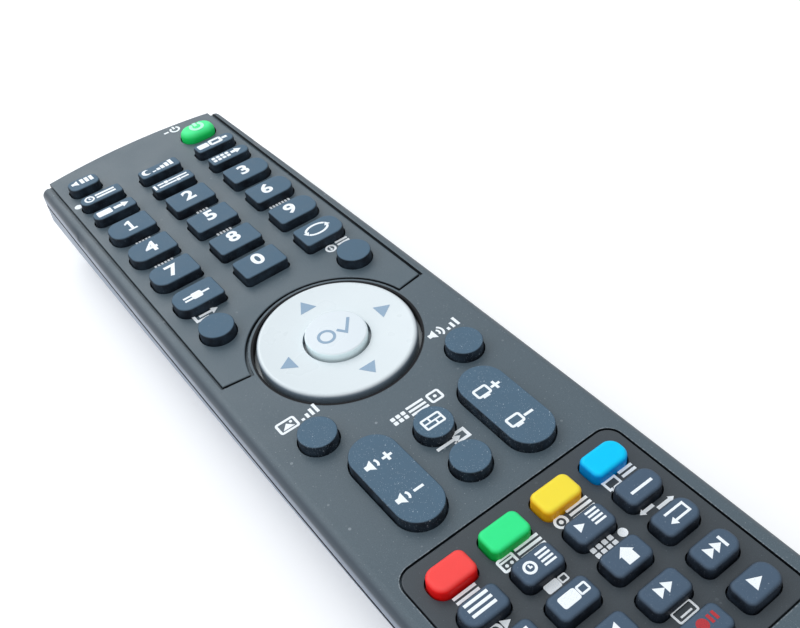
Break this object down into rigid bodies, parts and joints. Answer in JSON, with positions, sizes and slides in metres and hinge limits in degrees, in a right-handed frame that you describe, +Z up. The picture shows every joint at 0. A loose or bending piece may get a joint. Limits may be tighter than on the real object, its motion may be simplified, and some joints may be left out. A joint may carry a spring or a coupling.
{
  "type": "remote control",
  "caption": "Hand-held remote control with a tilting navigation disc, rocker keys, number keys, a panel of small keys and a sliding battery door.",
  "frame": {"origin": "middle of the underside, on the surface that the remote lies on", "axes": "+Z up through the keys, +Y along the remote towards the infrared window, +X to the right when the digits are read upright"},
  "size_m": [0.0514, 0.208, 0.0223],
  "materials": {
    "upper_key": "satin, fine light specks",
    "middle_key": "satin, fine light specks",
    "panel_key": "satin, fine light specks",
    "power_key": "translucent gloss",
    "red_key": "translucent gloss",
    "green_key": "translucent gloss",
    "yellow_key": "translucent gloss",
    "blue_key": "translucent gloss",
    "disc": "silvery satin",
    "select_key": "silvery satin",
    "mat": "matte",
    "case": "fine grain with dust",
    "case_under": "fine grain",
    "upper_plate": "fine grain with dust",
    "lower_plate": "smooth satin",
    "door": "fine grain",
    "window": "polished dark",
    "board": "glass-fibre board",
    "battery": "printed sleeve"
  },
  "bodies": {
    "case": {"top_case": "case", "bottom_case": "case_under", "upper_faceplate": "upper_plate", "lower_faceplate": "lower_plate", "ir_window": "window", "keypad_mat": "mat", "circuit_board": "board", "batteries": "battery"},
    "battery_door": {"battery_door": "door"},
    "nav_rocking_ring": {"nav_rocking_ring": "mat"},
    "nav_disc": {"nav_disc": "disc"},
    "rocker_volume": {"rocker_volume": "middle_key"},
    "rocker_channel": {"rocker_channel": "middle_key"},
    "key_socket": {"key_socket": "upper_key"},
    "key_0": {"key_0": "upper_key"},
    "key_swap": {"key_swap": "upper_key"},
    "key_7": {"key_7": "upper_key"},
    "key_8": {"key_8": "upper_key"},
    "key_9": {"key_9": "upper_key"},
    "key_4": {"key_4": "upper_key"},
    "key_5": {"key_5": "upper_key"},
    "key_6": {"key_6": "upper_key"},
    "key_1": {"key_1": "upper_key"},
    "key_2": {"key_2": "upper_key"},
    "key_3": {"key_3": "upper_key"},
    "key_bar_left_1": {"key_bar_left_1": "upper_key"},
    "key_bar_middle_1": {"key_bar_middle_1": "upper_key"},
    "key_bar_right_1": {"key_bar_right_1": "upper_key"},
    "key_bar_left_2": {"key_bar_left_2": "upper_key"},
    "key_bar_middle_2": {"key_bar_middle_2": "upper_key"},
    "key_bar_right_2": {"key_bar_right_2": "upper_key"},
    "key_input": {"key_input": "upper_key"},
    "key_exit": {"key_exit": "upper_key"},
    "key_info": {"key_info": "upper_key"},
    "key_power": {"key_power": "power_key"},
    "key_picture": {"key_picture": "middle_key"},
    "key_sound": {"key_sound": "middle_key"},
    "key_guide": {"key_guide": "middle_key"},
    "key_source": {"key_source": "middle_key"},
    "key_red": {"key_red": "red_key"},
    "key_green": {"key_green": "green_key"},
    "key_yellow": {"key_yellow": "yellow_key"},
    "key_blue": {"key_blue": "blue_key"},
    "key_text": {"key_text": "panel_key"},
    "key_timer": {"key_timer": "panel_key"},
    "key_list": {"key_list": "panel_key"},
    "key_subtitle": {"key_subtitle": "panel_key"},
    "key_media": {"key_media": "panel_key"},
    "key_usb": {"key_usb": "panel_key"},
    "key_home": {"key_home": "panel_key"},
    "key_return": {"key_return": "panel_key"},
    "key_previous": {"key_previous": "panel_key"},
    "key_rewind": {"key_rewind": "panel_key"},
    "key_forward": {"key_forward": "panel_key"},
    "key_next": {"key_next": "panel_key"},
    "key_pause": {"key_pause": "panel_key"},
    "key_stop": {"key_stop": "panel_key"},
    "key_record": {"key_record": "panel_key"},
    "key_play": {"key_play": "panel_key"},
    "key_select": {"key_select": "select_key"}
  },
  "joints": [
    {"name": "nav_tilt_along", "type": "hinge", "parent": "case", "child": "nav_rocking_ring", "pos_m": [0, 0.0144, 0.0165], "axis": [1, 0, 0], "range_deg": [-2, 2], "stiffness_Nm_per_rad": 1},
    {"name": "nav_tilt_across", "type": "hinge", "parent": "nav_rocking_ring", "child": "nav_disc", "pos_m": [0, 0.0144, 0.0165], "axis": [0, 1, 0], "range_deg": [-2, 2], "stiffness_Nm_per_rad": 1},
    {"name": "rocker_volume_tilt", "type": "hinge", "parent": "case", "child": "rocker_volume", "pos_m": [-0.0115, -0.0192, 0.019], "axis": [1, 0, 0], "range_deg": [-2.5, 2.5], "stiffness_Nm_per_rad": 0.8},
    {"name": "rocker_channel_tilt", "type": "hinge", "parent": "case", "child": "rocker_channel", "pos_m": [0.0115, -0.0192, 0.019], "axis": [1, 0, 0], "range_deg": [-2.5, 2.5], "stiffness_Nm_per_rad": 0.8},
    {"name": "battery_door_slide", "type": "slide", "parent": "case", "child": "battery_door", "axis": [0, -1, 0], "range_m": [0, 0.061]},
    {"name": "key_select_press", "type": "slide", "parent": "case", "child": "key_select", "axis": [0, 0, -1], "range_m": [0, 0.001], "stiffness_N_per_m": 1000},
    {"name": "key_socket_press", "type": "slide", "parent": "case", "child": "key_socket", "axis": [0, 0, -1], "range_m": [0, 0.001], "stiffness_N_per_m": 1000},
    {"name": "key_0_press", "type": "slide", "parent": "case", "child": "key_0", "axis": [0, 0, -1], "range_m": [0, 0.001], "stiffness_N_per_m": 1000},
    {"name": "key_swap_press", "type": "slide", "parent": "case", "child": "key_swap", "axis": [0, 0, -1], "range_m": [0, 0.001], "stiffness_N_per_m": 1000},
    {"name": "key_7_press", "type": "slide", "parent": "case", "child": "key_7", "axis": [0, 0, -1], "range_m": [0, 0.001], "stiffness_N_per_m": 1000},
    {"name": "key_8_press", "type": "slide", "parent": "case", "child": "key_8", "axis": [0, 0, -1], "range_m": [0, 0.001], "stiffness_N_per_m": 1000},
    {"name": "key_9_press", "type": "slide", "parent": "case", "child": "key_9", "axis": [0, 0, -1], "range_m": [0, 0.001], "stiffness_N_per_m": 1000},
    {"name": "key_4_press", "type": "slide", "parent": "case", "child": "key_4", "axis": [0, 0, -1], "range_m": [0, 0.001], "stiffness_N_per_m": 1000},
    {"name": "key_5_press", "type": "slide", "parent": "case", "child": "key_5", "axis": [0, 0, -1], "range_m": [0, 0.001], "stiffness_N_per_m": 1000},
    {"name": "key_6_press", "type": "slide", "parent": "case", "child": "key_6", "axis": [0, 0, -1], "range_m": [0, 0.001], "stiffness_N_per_m": 1000},
    {"name": "key_1_press", "type": "slide", "parent": "case", "child": "key_1", "axis": [0, 0, -1], "range_m": [0, 0.001], "stiffness_N_per_m": 1000},
    {"name": "key_2_press", "type": "slide", "parent": "case", "child": "key_2", "axis": [0, 0, -1], "range_m": [0, 0.001], "stiffness_N_per_m": 1000},
    {"name": "key_3_press", "type": "slide", "parent": "case", "child": "key_3", "axis": [0, 0, -1], "range_m": [0, 0.001], "stiffness_N_per_m": 1000},
    {"name": "key_bar_left_1_press", "type": "slide", "parent": "case", "child": "key_bar_left_1", "axis": [0, 0, -1], "range_m": [0, 0.001], "stiffness_N_per_m": 1000},
    {"name": "key_bar_middle_1_press", "type": "slide", "parent": "case", "child": "key_bar_middle_1", "axis": [0, 0, -1], "range_m": [0, 0.001], "stiffness_N_per_m": 1000},
    {"name": "key_bar_right_1_press", "type": "slide", "parent": "case", "child": "key_bar_right_1", "axis": [0, 0, -1], "range_m": [0, 0.001], "stiffness_N_per_m": 1000},
    {"name": "key_bar_left_2_press", "type": "slide", "parent": "case", "child": "key_bar_left_2", "axis": [0, 0, -1], "range_m": [0, 0.001], "stiffness_N_per_m": 1000},
    {"name": "key_bar_middle_2_press", "type": "slide", "parent": "case", "child": "key_bar_middle_2", "axis": [0, 0, -1], "range_m": [0, 0.001], "stiffness_N_per_m": 1000},
    {"name": "key_bar_right_2_press", "type": "slide", "parent": "case", "child": "key_bar_right_2", "axis": [0, 0, -1], "range_m": [0, 0.001], "stiffness_N_per_m": 1000},
    {"name": "key_input_press", "type": "slide", "parent": "case", "child": "key_input", "axis": [0, 0, -1], "range_m": [0, 0.001], "stiffness_N_per_m": 1000},
    {"name": "key_exit_press", "type": "slide", "parent": "case", "child": "key_exit", "axis": [0, 0, -1], "range_m": [0, 0.001], "stiffness_N_per_m": 1000},
    {"name": "key_info_press", "type": "slide", "parent": "case", "child": "key_info", "axis": [0, 0, -1], "range_m": [0, 0.001], "stiffness_N_per_m": 1000},
    {"name": "key_power_press", "type": "slide", "parent": "case", "child": "key_power", "axis": [0, 0, -1], "range_m": [0, 0.001], "stiffness_N_per_m": 1000},
    {"name": "key_picture_press", "type": "slide", "parent": "case", "child": "key_picture", "axis": [0, 0, -1], "range_m": [0, 0.001], "stiffness_N_per_m": 1000},
    {"name": "key_sound_press", "type": "slide", "parent": "case", "child": "key_sound", "axis": [0, 0, -1], "range_m": [0, 0.001], "stiffness_N_per_m": 1000},
    {"name": "key_guide_press", "type": "slide", "parent": "case", "child": "key_guide", "axis": [0, 0, -1], "range_m": [0, 0.001], "stiffness_N_per_m": 1000},
    {"name": "key_source_press", "type": "slide", "parent": "case", "child": "key_source", "axis": [0, 0, -1], "range_m": [0, 0.001], "stiffness_N_per_m": 1000},
    {"name": "key_red_press", "type": "slide", "parent": "case", "child": "key_red", "axis": [0, 0, -1], "range_m": [0, 0.001], "stiffness_N_per_m": 1000},
    {"name": "key_green_press", "type": "slide", "parent": "case", "child": "key_green", "axis": [0, 0, -1], "range_m": [0, 0.001], "stiffness_N_per_m": 1000},
    {"name": "key_yellow_press", "type": "slide", "parent": "case", "child": "key_yellow", "axis": [0, 0, -1], "range_m": [0, 0.001], "stiffness_N_per_m": 1000},
    {"name": "key_blue_press", "type": "slide", "parent": "case", "child": "key_blue", "axis": [0, 0, -1], "range_m": [0, 0.001], "stiffness_N_per_m": 1000},
    {"name": "key_text_press", "type": "slide", "parent": "case", "child": "key_text", "axis": [0, 0, -1], "range_m": [0, 0.001], "stiffness_N_per_m": 1000},
    {"name": "key_timer_press", "type": "slide", "parent": "case", "child": "key_timer", "axis": [0, 0, -1], "range_m": [0, 0.001], "stiffness_N_per_m": 1000},
    {"name": "key_list_press", "type": "slide", "parent": "case", "child": "key_list", "axis": [0, 0, -1], "range_m": [0, 0.001], "stiffness_N_per_m": 1000},
    {"name": "key_subtitle_press", "type": "slide", "parent": "case", "child": "key_subtitle", "axis": [0, 0, -1], "range_m": [0, 0.001], "stiffness_N_per_m": 1000},
    {"name": "key_media_press", "type": "slide", "parent": "case", "child": "key_media", "axis": [0, 0, -1], "range_m": [0, 0.001], "stiffness_N_per_m": 1000},
    {"name": "key_usb_press", "type": "slide", "parent": "case", "child": "key_usb", "axis": [0, 0, -1], "range_m": [0, 0.001], "stiffness_N_per_m": 1000},
    {"name": "key_home_press", "type": "slide", "parent": "case", "child": "key_home", "axis": [0, 0, -1], "range_m": [0, 0.001], "stiffness_N_per_m": 1000},
    {"name": "key_return_press", "type": "slide", "parent": "case", "child": "key_return", "axis": [0, 0, -1], "range_m": [0, 0.001], "stiffness_N_per_m": 1000},
    {"name": "key_previous_press", "type": "slide", "parent": "case", "child": "key_previous", "axis": [0, 0, -1], "range_m": [0, 0.001], "stiffness_N_per_m": 1000},
    {"name": "key_rewind_press", "type": "slide", "parent": "case", "child": "key_rewind", "axis": [0, 0, -1], "range_m": [0, 0.001], "stiffness_N_per_m": 1000},
    {"name": "key_forward_press", "type": "slide", "parent": "case", "child": "key_forward", "axis": [0, 0, -1], "range_m": [0, 0.001], "stiffness_N_per_m": 1000},
    {"name": "key_next_press", "type": "slide", "parent": "case", "child": "key_next", "axis": [0, 0, -1], "range_m": [0, 0.001], "stiffness_N_per_m": 1000},
    {"name": "key_pause_press", "type": "slide", "parent": "case", "child": "key_pause", "axis": [0, 0, -1], "range_m": [0, 0.001], "stiffness_N_per_m": 1000},
    {"name": "key_stop_press", "type": "slide", "parent": "case", "child": "key_stop", "axis": [0, 0, -1], "range_m": [0, 0.001], "stiffness_N_per_m": 1000},
    {"name": "key_record_press", "type": "slide", "parent": "case", "child": "key_record", "axis": [0, 0, -1], "range_m": [0, 0.001], "stiffness_N_per_m": 1000},
    {"name": "key_play_press", "type": "slide", "parent": "case", "child": "key_play", "axis": [0, 0, -1], "range_m": [0, 0.001], "stiffness_N_per_m": 1000}
  ]
}
